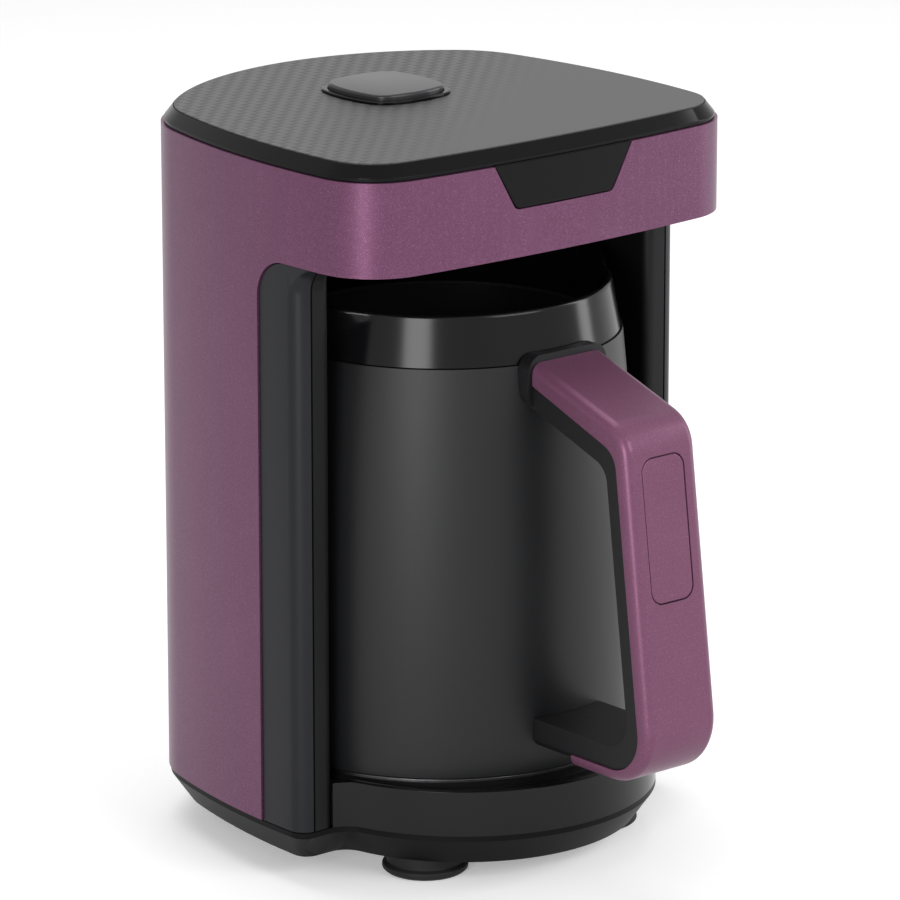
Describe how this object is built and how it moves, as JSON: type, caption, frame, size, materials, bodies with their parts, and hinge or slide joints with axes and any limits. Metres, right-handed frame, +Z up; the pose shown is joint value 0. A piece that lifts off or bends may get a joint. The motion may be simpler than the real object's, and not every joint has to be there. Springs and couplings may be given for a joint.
{
  "type": "electric turkish coffee maker",
  "caption": "Counter-top coffee maker with a rounded head on two columns, a lift-out black pot with loop handle and spouts on a heated round base, and a push button on the lid.",
  "frame": {"origin": "middle of the footprint of the bounding box, on the table", "axes": "+Z up, -Y the front, where the pot and its handle are, +X the machine's own right seen from behind the machine, and X = 0 is the plane of symmetry"},
  "size_m": [0.15, 0.1939, 0.2266],
  "materials": {
    "purple_shell": "satin metallic purple lacquer",
    "dark_plastic": "fine matte",
    "column_plastic": "satin",
    "gloss_black": "polished",
    "foot_rubber": "matte",
    "lid_plate": "satin under a clear coat, fine woven pattern",
    "tab_face": "satin",
    "button_face": "satin",
    "board": "solder mask",
    "lamp": "clear",
    "screw_steel": "zinc plated",
    "spring_steel": "drawn wire",
    "pot_black": "satin",
    "steel_ring": "turned",
    "contact_metal": "plated",
    "heater_metal": "as cast",
    "vessel_steel": "brushed",
    "handle_black": "satin"
  },
  "bodies": {
    "machine": {"outer_shell": "purple_shell", "niche_housing": "dark_plastic", "column_panel_left": "column_plastic", "column_panel_right": "column_plastic", "base_cover": "dark_plastic", "base_ring": "gloss_black", "pot_seat": "dark_plastic", "base_coupler": "gloss_black", "foot_front_left": "foot_rubber", "foot_front_right": "foot_rubber", "foot_rear_left": "foot_rubber", "foot_rear_right": "foot_rubber", "lid_frame": "gloss_black", "lid_plate": "lid_plate", "front_tab": "tab_face", "button_bezel": "gloss_black", "control_board": "board", "button_switch": "dark_plastic", "buzzer": "dark_plastic", "indicator_lamp": "lamp", "steam_sensor": "lamp", "cord_inlet": "foot_rubber", "base_screws": "screw_steel", "button_spring": "spring_steel", "contact_spring": "spring_steel"},
    "pot": {"pot_shell": "pot_black", "pot_foot_ring": "steel_ring", "pot_floor": "dark_plastic", "pot_socket": "dark_plastic", "socket_contact": "contact_metal", "heater_plate": "heater_metal", "heater_element": "spring_steel", "thermostat": "dark_plastic", "pot_vessel": "vessel_steel", "rim_seal": "foot_rubber", "pot_collar": "gloss_black", "handle_cover": "purple_shell", "handle_lining": "handle_black", "handle_inlay": "purple_shell"},
    "button": {"button_cap": "button_face", "switch_plunger": "dark_plastic"},
    "contact_pins": {"contact_pins": "contact_metal"}
  },
  "joints": [
    {"name": "pot_slide", "type": "slide", "parent": "machine", "child": "pot", "axis": [0, -0.9903, 0.1392], "range_m": [0, 0.14]},
    {"name": "button_press", "type": "slide", "parent": "machine", "child": "button", "axis": [0, 0, -1], "range_m": [0, 0.0015], "stiffness_N_per_m": 300, "deforming": ["button_spring"]},
    {"name": "contact_press", "type": "slide", "parent": "machine", "child": "contact_pins", "axis": [0, 0, -1], "range_m": [0, 0.001], "stiffness_N_per_m": 400, "deforming": ["contact_spring"]}
  ]
}
